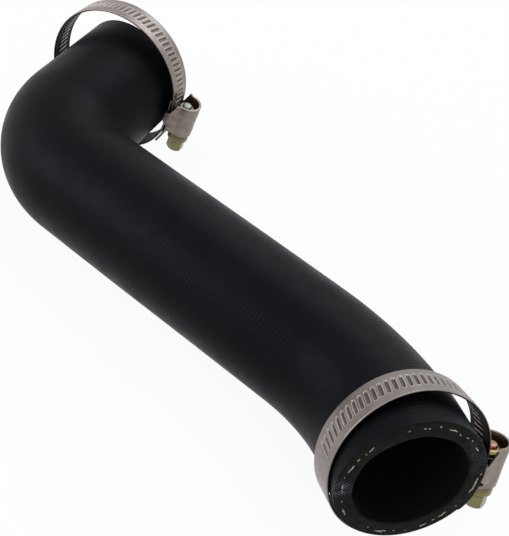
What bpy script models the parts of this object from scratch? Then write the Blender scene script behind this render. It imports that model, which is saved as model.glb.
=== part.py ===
"""Charge air hose with two loose worm-drive clamps, lying as it comes to rest.

The hose is one moulded rubber tube: a short near leg, a wide bend, a straight middle run, a tight elbow and
a neck. Each clamp has three pieces: a coiled band with a pressed slot row, a housing rolled from sheet, and
a worm screw with a collar and a hexagon head. Metres, +Z up, origin under the middle of the bounding box.
"""

import math

import bmesh
import bpy
import numpy as np
from mathutils import Matrix, Vector

MM = 0.001

# Rubber hose
HOSE_RADIUS = 25.0 * MM
HOSE_WALL = 6.0 * MM
NEAR_LEG = 15.0 * MM
NEAR_BEND_RADIUS = 61.5 * MM
NEAR_BEND_ANGLE = math.radians(48.4)
MIDDLE_RUN = 113.5 * MM
ELBOW_THROAT = 1.0 * MM
ELBOW_ANGLE = math.radians(83.8)
NECK_LENGTH = 40.5 * MM
BEND_TWIST = math.radians(146.9)
HEADING = math.radians(156.1)

# Clearances
SEAT_GAP = 0.3 * MM
RUNNING_GAP = 0.35 * MM

# Clamp band
BAND_WIDTH = 12.0 * MM
BAND_THICKNESS = 0.8 * MM
FLAT_LENGTH = 8.0 * MM
BAND_LEAD = 2.8 * MM
TAIL_REACH = 21.0 * MM
PLAIN_LENGTH = 92.5 * MM
SLOT_PITCH = 2.25 * MM
SLOT_WIDTH = 1.35 * MM
SLOT_LENGTH = 5.8 * MM
SLOT_END_SLOPE = 0.6 * MM
SLOT_DEPTH = 0.35 * MM
RIB_HEIGHT = 0.2 * MM
SLOT_SLANT = math.radians(9.0)
TAIL_ROUNDING = 2.0 * MM
NOTCH_LENGTH = 4.0 * MM
NOTCH_DEPTH = 1.4 * MM

# Clamp housing
HOUSING_WALL = 0.9 * MM
HOUSING_LENGTH = 16.2 * MM
HOUSING_LEAD = 3.9 * MM
LIP_FLARE = 0.4 * MM
LEG_HEIGHT = 2.5 * MM
LEG_CORNER = 2.4 * MM
NOSE_LENGTH = 5.3 * MM
NOSE_RISE = 2.1 * MM
NOSE_NARROWING = 0.65 * MM
ARCH_OVERRUN = math.radians(10.0)

# Worm screw
THREAD_RADIUS = 4.3 * MM
THREAD_DEPTH = 1.1 * MM
THREAD_CREST_SHARE = 0.27
THREAD_BASE_SHARE = 0.73
NECK_RADIUS = 3.0 * MM
PILOT_RADIUS = 2.1 * MM
PILOT_LENGTH = 1.5 * MM
PILOT_ROUNDING = 0.9 * MM
PILOT_RECESS = 1.3 * MM
RUNOUT_LENGTH = 0.8 * MM
THREAD_TO_NOSE = 1.2 * MM
COLLAR_RADIUS = 4.8 * MM
COLLAR_LENGTH = 3.2 * MM
COLLAR_BEVEL = 1.4 * MM
HEX_ACROSS_FLATS = 7.0 * MM
HEX_HEIGHT = 5.2 * MM
HEX_BEVEL = 0.6 * MM
HEX_FACE_RADIUS = 3.3 * MM
DRIVE_SLOT_WIDTH = 1.2 * MM
DRIVE_SLOT_DEPTH = 1.6 * MM

# Where each clamp hangs: distance from its mouth, turns about the hose and lean. The slack is how much wider
# than the hose the sprung band bends in each of nine equal turns, counted from the housing's head end.
NEAR_CLAMP = {
    "from_mouth": 11.7 * MM,
    "slack": np.array([-10.7, 3.6, 5.0, -0.9, 3.0, 2.2, -0.1, 2.7, 0.6]) * MM,
    "hang_side": math.radians(169.6),
    "lean": math.radians(8.5),
    "lean_side": math.radians(-90.7),
    "housing_side": math.radians(163.5),
}
FAR_CLAMP = {
    "from_mouth": 8.4 * MM,
    "slack": np.array([1.3, 1.3, 4.6, 7.6, 7.4, 4.6, 3.9, 3.7, 2.9]) * MM,
    "hang_side": math.radians(-165.8),
    "lean": math.radians(12.2),
    "lean_side": math.radians(120.5),
    "housing_side": math.radians(7.1),
}

# Facets
HOSE_SIDES = 32
BEND_STEP = math.radians(7.0)
BAND_STEP = 4.2 * MM
ROUTE_SAMPLES = 361
ARCH_SIDES = 12
SCREW_SIDES = 18
STEPS_PER_THREAD = 4
ROUNDING_TURNS = tuple(math.radians(turned) for turned in (0, 30, 60, 90))
HAIRLINE = 0.05 * MM
MOST_HANG = 12.0 * MM
BISECTIONS = 40

# Values that follow from the sizes above
ELBOW_RADIUS = HOSE_RADIUS + ELBOW_THROAT
BORE_RADIUS = HOSE_RADIUS - HOSE_WALL
LAYER_PITCH = BAND_THICKNESS + RIB_HEIGHT + SEAT_GAP
TAIL_TOP = LAYER_PITCH + BAND_THICKNESS
SCREW_HEIGHT = TAIL_TOP + SEAT_GAP + THREAD_RADIUS
HOUSING_HALF = BAND_WIDTH / 2 + SEAT_GAP
HOUSING_END = HOUSING_LENGTH - HOUSING_LEAD
NOTCH_MIDDLE = FLAT_LENGTH / 2


def material(name, colour, roughness, metallic):
    """A Principled material with one colour, roughness and metallic value."""
    made = bpy.data.materials.new(name)
    made.use_nodes = True
    shader = made.node_tree.nodes["Principled BSDF"]
    shader.inputs["Base Color"].default_value = (*colour, 1.0)
    shader.inputs["Roughness"].default_value = roughness
    shader.inputs["Metallic"].default_value = metallic
    return made


def turn(angle, axis):
    """Rotation matrix about a local axis."""
    return Matrix.Rotation(angle, 4, axis)


def shift(x, y, z):
    """Translation matrix."""
    return Matrix.Translation((x, y, z))


def placed(frame, points):
    """Points of shape (..., 3) carried by a frame."""
    rows = np.array(frame)
    return points @ rows[:3, :3].T + rows[:3, 3]


def loft(name, rings, parent, frame, finish, around=False):
    """One closed solid through equal rings of points, capped at both ends or closed on itself."""
    mesh_builder = bmesh.new()
    corners = [[mesh_builder.verts.new(point) for point in ring] for ring in rings]
    pairs = list(zip(corners, corners[1:]))
    if around:
        pairs.append((corners[-1], corners[0]))
    else:
        mesh_builder.faces.new(corners[0])
        mesh_builder.faces.new(reversed(corners[-1]))
    for first, second in pairs:
        for i, corner in enumerate(first):
            after = (i + 1) % len(first)
            mesh_builder.faces.new((corner, second[i], second[after], first[after]))
    bmesh.ops.recalc_face_normals(mesh_builder, faces=mesh_builder.faces)
    mesh = bpy.data.meshes.new(name)
    mesh_builder.to_mesh(mesh)
    mesh_builder.free()
    mesh.shade_smooth()
    mesh.set_sharp_from_angle(angle=math.radians(30))
    mesh.materials.append(finish)
    piece = bpy.data.objects.new(name, mesh)
    bpy.context.collection.objects.link(piece)
    piece.parent = parent
    piece.matrix_local = frame
    return piece


# The hose's path: frames whose Z runs along the hose and whose roll isn't twisted


def bent(frame, radius, angle, side):
    """The frame at the end of an arc whose centre lies at the angle side round Z."""
    step = shift(radius * (1 - math.cos(angle)), 0, radius * math.sin(angle)) @ turn(angle, "Y")
    return frame @ turn(side, "Z") @ step @ turn(-side, "Z")


def arc_frames(frame, radius, angle, side):
    """Frames along an arc, without its start."""
    count = max(2, math.ceil(angle / BEND_STEP))
    return [bent(frame, radius, angle * i / count, side) for i in range(1, count + 1)]


def hose_frames():
    """Frames from the near mouth to the far mouth, and the one where the middle run starts."""
    frames = [Matrix.Identity(4), shift(0, 0, NEAR_LEG)]
    frames += arc_frames(frames[-1], NEAR_BEND_RADIUS, NEAR_BEND_ANGLE, 0)
    middle = frames[-1]
    frames.append(middle @ shift(0, 0, MIDDLE_RUN))
    frames += arc_frames(frames[-1], ELBOW_RADIUS, ELBOW_ANGLE, BEND_TWIST)
    frames.append(frames[-1] @ shift(0, 0, NECK_LENGTH))
    return frames, middle


def hose_rings(frames):
    """Outer rings from the near mouth to the far one, then the bore's rings back."""
    angles = np.linspace(0, 2 * np.pi, HOSE_SIDES, endpoint=False)
    circle = np.stack([np.cos(angles), np.sin(angles), np.zeros(HOSE_SIDES)], axis=1)
    outer = [placed(frame, circle * HOSE_RADIUS) for frame in frames]
    inner = [placed(frame, circle * BORE_RADIUS) for frame in reversed(frames)]
    return outer + inner


# The clamp band's route: a straight under the screw, then equal turns of different radii that meet on common
# tangents. X runs out through the housing, Y along the screw towards its head, Z along the band's width.


class Loop:
    """The band's closed base line, measured from the start of the straight under the screw."""

    def __init__(self, slack):
        self.turn = 2 * math.pi / len(slack)
        self.facing = self.turn * np.arange(len(slack) + 1)
        steps = np.stack([np.diff(np.cos(self.facing)), np.diff(np.sin(self.facing))])
        radii = HOSE_RADIUS + slack
        closing = np.linalg.pinv(steps) @ (steps @ radii + (0, FLAT_LENGTH))
        self.radii = radii - closing
        self.ends = FLAT_LENGTH + np.concatenate([[0], np.cumsum(self.radii * self.turn)])
        self.length = self.ends[-1]
        self.corners = np.concatenate([[(0, 0)], np.cumsum(steps * self.radii, axis=1).T]) + (0, FLAT_LENGTH)
        self.start = np.zeros(2)
        route = np.array([self.at(share * self.length, 0) for share in np.linspace(0, 1, ROUTE_SAMPLES)])
        self.start = -(route.min(axis=0) + route.max(axis=0)) / 2

    def at(self, distance, offset):
        """Point of the route at a distance along it, moved outwards by offset."""
        along = distance % self.length
        if along < FLAT_LENGTH:
            return self.start + (offset, along)
        turned = min(np.searchsorted(self.ends, along, side="right"), len(self.radii)) - 1
        radius = self.radii[turned]
        faced = self.facing[turned]
        angle = faced + (along - self.ends[turned]) / radius
        centre = self.corners[turned] - radius * np.array([math.cos(faced), math.sin(faced)])
        return self.start + centre + (radius + offset) * np.array([math.cos(angle), math.sin(angle)])


def layer_offset(loop, distance):
    """How far the band has wound outwards, so that its tail lies on its first layer."""
    return LAYER_PITCH * (distance + BAND_LEAD) / loop.length


def band_columns(loop):
    """Stations along the band: distance, slot depth share, half width, and whether a slot slants it."""
    half = BAND_WIDTH / 2
    notched = half - NOTCH_DEPTH
    end = loop.length + TAIL_REACH
    notch_start = NOTCH_MIDDLE - NOTCH_LENGTH / 2
    notch_end = NOTCH_MIDDLE + NOTCH_LENGTH / 2
    columns = [(-BAND_LEAD, 0, half, False)]
    columns += [(notch_start, 0, half, False), (notch_start + HAIRLINE, 0, notched, False)]
    columns += [(notch_end - HAIRLINE, 0, notched, False), (notch_end, 0, half, False)]
    first_slot = PLAIN_LENGTH - BAND_LEAD
    plain_count = math.ceil((first_slot - SLOT_PITCH - notch_end) / BAND_STEP)
    plain = np.linspace(notch_end, first_slot - SLOT_PITCH, plain_count + 1)[1:]
    columns += [(distance, 0, half, False) for distance in plain]
    slot_count = int((end - TAIL_ROUNDING - SLOT_PITCH - first_slot) / SLOT_PITCH)
    for i in range(slot_count):
        middle = first_slot + i * SLOT_PITCH
        columns.append((middle - SLOT_WIDTH / 2, 0, half, True))
        columns.append((middle, 1, half, True))
        columns.append((middle + SLOT_WIDTH / 2, 0, half, True))
    for angle in ROUNDING_TURNS:
        rounding = TAIL_ROUNDING * (1 - math.cos(angle))
        columns.append((end - TAIL_ROUNDING * (1 - math.sin(angle)), 0, half - rounding, False))
    return columns


def band_rings(loop):
    """Cross-sections along the band, outer face first, with pressed slots outside and ribs inside."""
    inner_row = SLOT_LENGTH / 2 - SLOT_END_SLOPE
    rings = []
    for distance, depth, half, slanted in band_columns(loop):
        rows = np.array([-half, -SLOT_LENGTH / 2, -inner_row, inner_row, SLOT_LENGTH / 2, half])
        pressed = depth * np.array([0, 0, 1, 1, 0, 0])
        lean = math.tan(SLOT_SLANT) * np.clip(rows, -SLOT_LENGTH / 2, SLOT_LENGTH / 2) * slanted
        outside = []
        inside = []
        for width, press, slant in zip(rows, pressed, lean):
            station = distance + slant
            lift = layer_offset(loop, station)
            top = loop.at(station, lift + BAND_THICKNESS - press * SLOT_DEPTH)
            bottom = loop.at(station, lift - press * RIB_HEIGHT)
            outside.append((*top, width))
            inside.append((*bottom, width))
        rings.append(outside + inside[::-1])
    return np.array(rings)


# The housing: one U-shaped sheet section after another along the screw, measured from the straight's start.


def housing_section(station, radius, half, bottom, hook):
    """Closed outline of the sheet: an arch over the screw, two legs, and a hook under each leg."""
    arch = np.linspace(-ARCH_OVERRUN, math.pi + ARCH_OVERRUN, ARCH_SIDES + 1)
    shoulder = bottom + LEG_HEIGHT
    hook_top = bottom + BAND_THICKNESS

    def arch_points(arch_radius):
        return [(arch_radius * math.cos(a), SCREW_HEIGHT + arch_radius * math.sin(a)) for a in arch]

    right = [(half + HOUSING_WALL, bottom), (half + HOUSING_WALL, shoulder)]
    left = [(-width, height) for width, height in reversed(right)]
    inner_left = [(-half, shoulder), (-half, hook_top + HAIRLINE), (hook - half, hook_top), (hook - half, bottom)]
    inner_right = [(-width, height) for width, height in reversed(inner_left)]
    outline = right + arch_points(radius + HOUSING_WALL) + left
    outline += inner_left[::-1] + arch_points(radius)[::-1] + inner_right[::-1]
    return [(height, station, width) for width, height in outline]


def housing_rings(loop):
    """Sections from the open lip to the nose wall round the screw's neck."""
    throat = THREAD_RADIUS + RUNNING_GAP
    lip = throat + LIP_FLARE
    nose = throat - NOSE_NARROWING
    nose_half = nose + HAIRLINE
    raised = TAIL_TOP + SEAT_GAP
    start = -HOUSING_LEAD
    hook = NOTCH_DEPTH
    hook_start = NOTCH_MIDDLE - NOTCH_LENGTH / 2 + SEAT_GAP
    hook_end = NOTCH_MIDDLE + NOTCH_LENGTH / 2 - SEAT_GAP
    nose_start = HOUSING_END - NOSE_LENGTH
    nose_wall = HOUSING_END - HOUSING_WALL
    hole = NECK_RADIUS + RUNNING_GAP

    def straight(station):
        share = (station - start) / (nose_start - start)
        return lip + (throat - lip) * share

    sections = []
    for angle in ROUNDING_TURNS:
        station = start + LEG_CORNER * (1 - math.cos(angle))
        sections.append((station, straight(station), HOUSING_HALF, LEG_CORNER * (1 - math.sin(angle)), 0))
    sections += [
        (hook_start, straight(hook_start), HOUSING_HALF, 0, 0),
        (hook_start + HAIRLINE, straight(hook_start), HOUSING_HALF, 0, hook),
        (hook_end - HAIRLINE, straight(hook_end), HOUSING_HALF, 0, hook),
        (hook_end, straight(hook_end), HOUSING_HALF, 0, 0),
        (nose_start, throat, HOUSING_HALF, 0, 0),
        (nose_start + NOSE_RISE, throat, HOUSING_HALF, raised, 0),
        (nose_wall - HAIRLINE, nose, nose_half, raised, 0),
        (nose_wall, hole, nose_half, raised, 0),
        (HOUSING_END, hole, nose_half, raised, 0),
    ]
    rings = np.array([housing_section(*section) for section in sections])
    rings[:, :, :2] += loop.start
    return rings


# The worm screw, turned about its own Z, which runs from the tip to the head


def thread_radius(angle, station, start, end):
    """Radius of a right-handed worm with slanted flanks, running out at both ends."""
    phase = (station / SLOT_PITCH - angle / (2 * math.pi)) % 1.0
    flank = (THREAD_BASE_SHARE - THREAD_CREST_SHARE) / 2
    crest = min(1.0, max(0.0, (THREAD_BASE_SHARE / 2 - abs(phase - 0.5)) / flank))
    fade = min(1.0, (station - start) / RUNOUT_LENGTH, (end - station) / RUNOUT_LENGTH)
    return THREAD_RADIUS - THREAD_DEPTH * (1 - crest * max(0.0, fade))


def hex_radius(angle):
    """Radius of the head's hexagon in the direction of an angle."""
    return HEX_ACROSS_FLATS / 2 / math.cos((angle + math.pi / 6) % (math.pi / 3) - math.pi / 6)


def screw_rings():
    """Rings of the screw from its rounded pilot to its bevelled head, about Z, tip at zero."""
    angles = np.linspace(0, 2 * math.pi, SCREW_SIDES, endpoint=False)
    start = PILOT_LENGTH
    nose_wall = HOUSING_LENGTH - PILOT_RECESS - HOUSING_WALL
    end = nose_wall - THREAD_TO_NOSE
    collar = nose_wall + HOUSING_WALL + SEAT_GAP
    collar_end = collar + COLLAR_LENGTH
    head_start = collar_end + COLLAR_BEVEL
    head_end = head_start + HEX_HEIGHT
    rings = []
    for angle in ROUNDING_TURNS:
        radius = PILOT_RADIUS - PILOT_ROUNDING * (1 - math.sin(angle))
        rings.append([(radius, PILOT_ROUNDING * (1 - math.cos(angle)))] * SCREW_SIDES)
    rings.append([(PILOT_RADIUS, start - HAIRLINE)] * SCREW_SIDES)
    count = math.ceil((end - start) / SLOT_PITCH * STEPS_PER_THREAD)
    for station in np.linspace(start, end, count + 1):
        rings.append([(thread_radius(a, station, start, end), station) for a in angles])
    for station, radius in (
        (end + HAIRLINE, NECK_RADIUS),
        (collar - HAIRLINE, NECK_RADIUS),
        (collar, COLLAR_RADIUS),
        (collar_end, COLLAR_RADIUS),
    ):
        rings.append([(radius, station)] * SCREW_SIDES)
    for station in (head_start, head_end - HEX_BEVEL):
        rings.append([(hex_radius(a), station) for a in angles])
    rings.append([(HEX_FACE_RADIUS, head_end)] * SCREW_SIDES)
    points = [
        [(radius * math.cos(a), radius * math.sin(a), z) for a, (radius, z) in zip(angles, ring)]
        for ring in rings
    ]
    return np.array(points), head_end


def cut_drive_slot(screw, head_end, parent, frame, finish):
    """A straight screwdriver slot across the end of the head."""
    width = DRIVE_SLOT_WIDTH / 2
    reach = HEX_ACROSS_FLATS
    low = head_end - DRIVE_SLOT_DEPTH
    high = head_end + DRIVE_SLOT_DEPTH
    square = [(-reach, -width), (reach, -width), (reach, width), (-reach, width)]
    rings = [[(x, y, z) for x, y in square] for z in (low, high)]
    cutter = loft(screw.name + "_slot_cutter", rings, parent, frame, finish)
    cutter.hide_render = True
    cutter.display_type = "WIRE"
    cut = screw.modifiers.new("drive slot", "BOOLEAN")
    cut.object = cutter
    cut.operation = "DIFFERENCE"
    cut.solver = "EXACT"


# Placing a clamp on the hose


def clamp_frame(mouth, clamp, hang):
    """Frame of a loose clamp: hung to one side of the hose's axis, leaning, housing turned to its side."""
    side = clamp["hang_side"]
    lean = turn(clamp["lean_side"], "Z") @ turn(clamp["lean"], "Y") @ turn(-clamp["lean_side"], "Z")
    centre = shift(hang * math.cos(side), hang * math.sin(side), 0)
    return mouth @ centre @ lean @ turn(clamp["housing_side"], "Z")


def hung_frame(mouth, clamp, inner_points):
    """The clamp's frame when its band rests against the hose with the seat gap."""
    low, high = 0.0, MOST_HANG
    to_mouth = mouth.inverted()
    for _ in range(BISECTIONS):
        hang = (low + high) / 2
        frame = to_mouth @ clamp_frame(mouth, clamp, hang)
        nearest = np.hypot(*placed(frame, inner_points)[:, :2].T).min()
        if nearest > HOSE_RADIUS + SEAT_GAP:
            low = hang
        else:
            high = hang
    return clamp_frame(mouth, clamp, low)


def build_clamp(prefix, mouth, clamp, parent, finishes):
    """The three pieces of one clamp, and their points for finding how the part rests."""
    loop = Loop(clamp["slack"])
    rings = band_rings(loop)
    frame = hung_frame(mouth, clamp, rings.reshape(-1, 3))
    loft(prefix + "_clamp_band", rings, parent, frame, finishes["band"])
    sections = housing_rings(loop)
    loft(prefix + "_clamp_housing", sections, parent, frame, finishes["housing"])
    tip = shift(loop.start[0] + SCREW_HEIGHT, loop.start[1] + PILOT_RECESS - HOUSING_LEAD, 0)
    axis = frame @ tip @ turn(-math.pi / 2, "X")
    points, head_end = screw_rings()
    screw = loft(prefix + "_clamp_screw", points, parent, axis, finishes["screw"])
    cut_drive_slot(screw, head_end, parent, axis, finishes["screw"])
    clouds = [(frame, rings), (frame, sections), (axis, points)]
    return np.concatenate([placed(place, cloud.reshape(-1, 3)) for place, cloud in clouds])


def resting_roll(middle, clamp_points):
    """Roll about the middle run at which the far clamp reaches as low as the run itself."""
    local = placed(middle.inverted(), clamp_points)
    low, high = 0.0, math.pi / 2
    for _ in range(BISECTIONS):
        roll = (low + high) / 2
        up = np.array([math.sin(roll), math.cos(roll)])
        if (local[:, :2] @ up).min() > -HOSE_RADIUS:
            low = roll
        else:
            high = roll
    return low


def rest_on_ground(root, middle, clamp_points):
    """Lays the middle run level, and puts the origin under the middle of the bounding box."""
    roll = resting_roll(middle, clamp_points)
    along = Vector((math.cos(HEADING), math.sin(HEADING), 0))
    aside = Vector((-along.y, along.x, 0))
    bend_side = aside * math.cos(roll) + Vector((0, 0, math.sin(roll)))
    level = Matrix((bend_side, along.cross(bend_side), along)).transposed().to_4x4()
    root.matrix_world = level @ middle.inverted()
    bpy.context.view_layer.update()
    graph = bpy.context.evaluated_depsgraph_get()
    clouds = []
    for piece in root.children:
        if not piece.hide_render:
            corners = [piece.matrix_world @ vertex.co for vertex in piece.evaluated_get(graph).data.vertices]
            clouds.append(np.array(corners))
    cloud = np.concatenate(clouds)
    low, high = cloud.min(axis=0), cloud.max(axis=0)
    middle_x, middle_y = (low[:2] + high[:2]) / 2
    root.matrix_world = shift(-middle_x, -middle_y, -low[2]) @ root.matrix_world


def build():
    """The whole part."""
    for old in list(bpy.data.objects):
        bpy.data.objects.remove(old, do_unlink=True)
    rubber = material("black_rubber", (0.012, 0.012, 0.015), 0.55, 0.0)
    finishes = {
        "band": material("pressed_stainless_band", (0.42, 0.38, 0.37), 0.35, 1.0),
        "housing": material("rolled_stainless_housing", (0.37, 0.34, 0.33), 0.4, 1.0),
        "screw": material("yellow_zinc_steel", (0.46, 0.43, 0.22), 0.35, 1.0),
    }
    root = bpy.data.objects.new("resting_frame", None)
    bpy.context.collection.objects.link(root)
    frames, middle = hose_frames()
    loft("hose", hose_rings(frames), root, Matrix.Identity(4), rubber, around=True)
    near_place = frames[0] @ shift(0, 0, NEAR_CLAMP["from_mouth"])
    far_place = frames[-1] @ shift(0, 0, -FAR_CLAMP["from_mouth"]) @ turn(BEND_TWIST, "Z")
    build_clamp("near", near_place, NEAR_CLAMP, root, finishes)
    clamp_points = build_clamp("far", far_place, FAR_CLAMP, root, finishes)
    rest_on_ground(root, middle, clamp_points)


build()
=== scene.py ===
"""Visual model of a charge air hose with two loose worm-drive clamps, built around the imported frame.

The hose is one swept rubber tube with wrap ribs, cut faces and yarn ends. Each clamp is a coiled band with a
pressed slot row, a housing rolled from sheet and a worm screw. Lengths are metres unless a name says
otherwise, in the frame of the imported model.
"""

import logging
import math
from dataclasses import dataclass, field
from enum import Enum

import bmesh
import bpy
import numpy as np
from mathutils import Matrix


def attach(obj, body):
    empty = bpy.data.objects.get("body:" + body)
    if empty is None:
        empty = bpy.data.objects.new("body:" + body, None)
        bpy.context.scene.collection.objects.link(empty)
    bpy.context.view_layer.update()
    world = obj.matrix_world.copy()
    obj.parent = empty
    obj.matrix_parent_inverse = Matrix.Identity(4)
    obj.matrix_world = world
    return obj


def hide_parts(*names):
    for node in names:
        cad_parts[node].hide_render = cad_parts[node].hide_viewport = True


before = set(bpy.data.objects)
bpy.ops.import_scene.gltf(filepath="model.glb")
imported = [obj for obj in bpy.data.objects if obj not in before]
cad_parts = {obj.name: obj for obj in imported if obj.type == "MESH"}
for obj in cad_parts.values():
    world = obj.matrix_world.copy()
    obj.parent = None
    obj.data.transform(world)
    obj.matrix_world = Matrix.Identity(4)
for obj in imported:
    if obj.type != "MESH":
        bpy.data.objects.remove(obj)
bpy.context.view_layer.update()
log = logging.getLogger("charge_air_hose")

MM = 0.001
TAU = 2 * math.pi
SHARP_ANGLE = math.radians(38)

Socket = bpy.types.NodeSocket
Inputs = dict[str | int, object]
Colour = tuple[float, float, float]
Span = tuple[float, float]

# The hose's own frame at rest: its Z runs into the near mouth, its X points towards the near bend's centre.
HOSE_FRAME = np.array(
    [
        [-0.9262645, 0.1750292, -0.3337646, 0.0743202],
        [-0.2444647, 0.3949759, 0.8855682, -0.0806394],
        [0.2868293, 0.9018641, -0.3230637, 0.0387752],
        [0.0, 0.0, 0.0, 1.0],
    ]
)


class Side(Enum):
    """The two mouths of the hose, as the camera sees them."""

    NEAR = "near"
    FAR = "far"


def turned(angle: float, axis: str) -> np.ndarray:
    """A rotation about one of its own axes, as a 4 by 4 matrix."""
    return np.array(Matrix.Rotation(angle, 4, axis))


def shifted(x: float, y: float, z: float) -> np.ndarray:
    """A translation, as a 4 by 4 matrix."""
    return np.array(Matrix.Translation((x, y, z)))


def carried(place: np.ndarray, points: np.ndarray) -> np.ndarray:
    """Carries points into the frame that place is given in.

    Args:
        place: One 4 by 4 matrix, or one for each row of points.
        points: An array whose last axis holds x, y and z.

    Returns:
        The points turned by each matrix and moved by its last column.
    """
    if place.ndim == 2:
        return points @ place[:3, :3].T + place[:3, 3]
    return np.einsum("rij,rcj->rci", place[:, :3, :3], points) + place[:, None, :3, 3]


def eased(low: float, high: float, value: np.ndarray) -> np.ndarray:
    """Smooth step: 3 t squared minus 2 t cubed, with t running from 0 at low to 1 at high."""
    t = np.clip((value - low) / (high - low), 0.0, 1.0)
    return t * t * (3 - 2 * t)


def quarter(count: int) -> np.ndarray:
    """Angles from 0 to 90 degrees for rounding an edge."""
    return np.linspace(0, math.pi / 2, count)


def once_round(count: int) -> np.ndarray:
    """Angles evenly spaced round a circle."""
    return np.linspace(0, TAU, count, endpoint=False)


def away(angles: np.ndarray, degrees: float) -> np.ndarray:
    """How far angles lie from one direction, in radians from minus half a turn to half a turn."""
    return np.mod(angles - math.radians(degrees) + math.pi, TAU) - math.pi


@dataclass(frozen=True)
class Wave:
    """A slow wave over a tube: its height, and its phase for each metre along and each radian round."""

    height: float
    along: float
    around: float

    def at(self, stations: np.ndarray, angles: np.ndarray) -> np.ndarray:
        """Height times the sine of the phase."""
        return self.height * np.sin(self.along * stations + self.around * angles)


# Meshes


def placed(name: str, data: bpy.types.ID) -> bpy.types.Object:
    """A new object in the scene that holds data."""
    made = bpy.data.objects.new(name, data)
    bpy.context.collection.objects.link(made)
    return made


def enclosed(points: np.ndarray, faces: np.ndarray) -> float:
    """Six times the volume inside the faces: a sum of triple products, positive where they face outwards.

    Args:
        points: Corners, of shape (n, 3).
        faces: Corner numbers, with -1 last where a face is a triangle.

    Returns:
        The sum over both triangles of each quad and over each triangle.
    """
    first, second, third, fourth = (points[faces[:, corner]] for corner in range(4))
    halves = np.einsum("ij,ij->i", first, np.cross(second, third))
    rest = np.einsum("ij,ij->i", first, np.cross(third, fourth))
    return halves.sum() + rest[faces[:, 3] >= 0].sum()


@dataclass
class Skin:
    """A surface given as a grid of points, rows along the piece and columns around it.

    Attributes:
        points: Grid of shape (rows, columns, 3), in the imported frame.
        along: Distance of each row, for the piece's own UV map.
        around: Distance of each column, with one more value where the columns close on themselves.
        close_rows: Whether the last row meets the first one again.
        poles: Whether each open end is closed by a fan to its middle.
        sheet: Whether each open end is closed by quads between the grid's outer and inner halves.
        marks: Named values from 0 to 1 on the grid, which the finishes read.
        zones: Index of the finish for each row of faces.
    """

    points: np.ndarray
    along: np.ndarray
    around: np.ndarray
    close_rows: bool = False
    poles: bool = False
    sheet: bool = False
    marks: dict[str, np.ndarray] = field(default_factory=dict)
    zones: np.ndarray | None = None

    def faces(self) -> tuple[np.ndarray, np.ndarray]:
        """Joins each point to its neighbours in the next row and column.

        Returns:
            Quads as corner numbers of shape (n, 4), and their UV coordinates of shape (n, 4, 2).
        """
        rows, columns = self.points.shape[:2]
        row = np.arange(rows if self.close_rows else rows - 1)[:, None]
        column = np.arange(columns)[None, :]
        corner_rows = np.stack([row, row, row + 1, row + 1], -1) + 0 * column[..., None]
        corner_columns = np.stack([column, column + 1, column + 1, column], -1) + 0 * row[..., None]
        quads = (corner_rows % rows) * columns + corner_columns % columns
        along = np.append(self.along, 2 * self.along[-1] - self.along[-2])
        places = np.stack([self.around[corner_columns], along[corner_rows]], -1)
        return quads.reshape(-1, 4), places.reshape(-1, 4, 2)

    def ends(self) -> tuple[np.ndarray, np.ndarray]:
        """Closes the two open ends.

        Returns:
            The extra points, and the closing faces as corner numbers, with -1 where a face is a triangle.
        """
        rows, columns = self.points.shape[:2]
        to_last_row = (rows - 1) * columns
        if self.sheet:
            j = np.arange(columns // 2 - 1)
            front = np.stack([j + 1, j, columns - 1 - j, columns - 2 - j], -1)
            return np.zeros((0, 3)), np.concatenate([front, front[:, ::-1] + to_last_row])
        first = np.arange(columns)
        pole = rows * columns
        none = np.full(columns, -1)
        start = np.stack([np.roll(first, -1), first, np.full(columns, pole), none], -1)
        last = first + to_last_row
        end = np.stack([last, np.roll(last, -1), np.full(columns, pole + 1), none], -1)
        return self.points[[0, -1]].mean(axis=1), np.concatenate([start, end])

    def piece(self, name: str, finishes: list[bpy.types.Material]) -> bpy.types.Object:
        """Makes the mesh object, facing outwards and shaded smooth between its edges.

        Args:
            name: The piece's name.
            finishes: Materials, numbered as zones says.

        Returns:
            The object, at the origin and with its place in its mesh.
        """
        points = self.points.reshape(-1, 3)
        quads, uv = self.faces()
        faces = quads
        if self.poles or self.sheet:
            extra, closing = self.ends()
            points = np.concatenate([points, extra])
            faces = np.concatenate([quads, closing])
            uv = np.concatenate([uv, np.zeros((len(closing), 4, 2))])
        if enclosed(points, faces) < 0:
            quad = faces[:, 3:] >= 0
            uv = np.where(quad[..., None], uv[:, ::-1], uv)
            faces = np.where(quad, faces[:, ::-1], faces[:, [2, 1, 0, 3]])
        mesh = bpy.data.meshes.new(name)
        mesh.from_pydata(points, [], [face[face >= 0].tolist() for face in faces])
        layer = mesh.uv_layers.new(name="surface")
        layer.data.foreach_set("uv", uv[faces >= 0].astype(np.float32).ravel())
        for mark, value in self.marks.items():
            padded = np.zeros(len(points), np.float32)
            padded[: value.size] = value.ravel()
            mesh.attributes.new(mark, "FLOAT", "POINT").data.foreach_set("value", padded)
        for finish in finishes:
            mesh.materials.append(finish)
        if self.zones is not None:
            zone = np.zeros(len(faces), np.int32)
            zone[: len(quads)] = np.repeat(self.zones, self.points.shape[1])
            mesh.polygons.foreach_set("material_index", zone)
        mesh.shade_smooth()
        mesh.set_sharp_from_angle(angle=SHARP_ANGLE)
        return placed(name, mesh)


def settle(piece: bpy.types.Object, body: str, node: str | None = None) -> None:
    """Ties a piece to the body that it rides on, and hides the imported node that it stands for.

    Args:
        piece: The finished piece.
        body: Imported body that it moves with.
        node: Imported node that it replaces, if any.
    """
    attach(piece, body)
    if node:
        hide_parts(node)
    log.info("%s: %d faces on %s", piece.name, len(piece.data.polygons), body)


# Finishes


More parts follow.
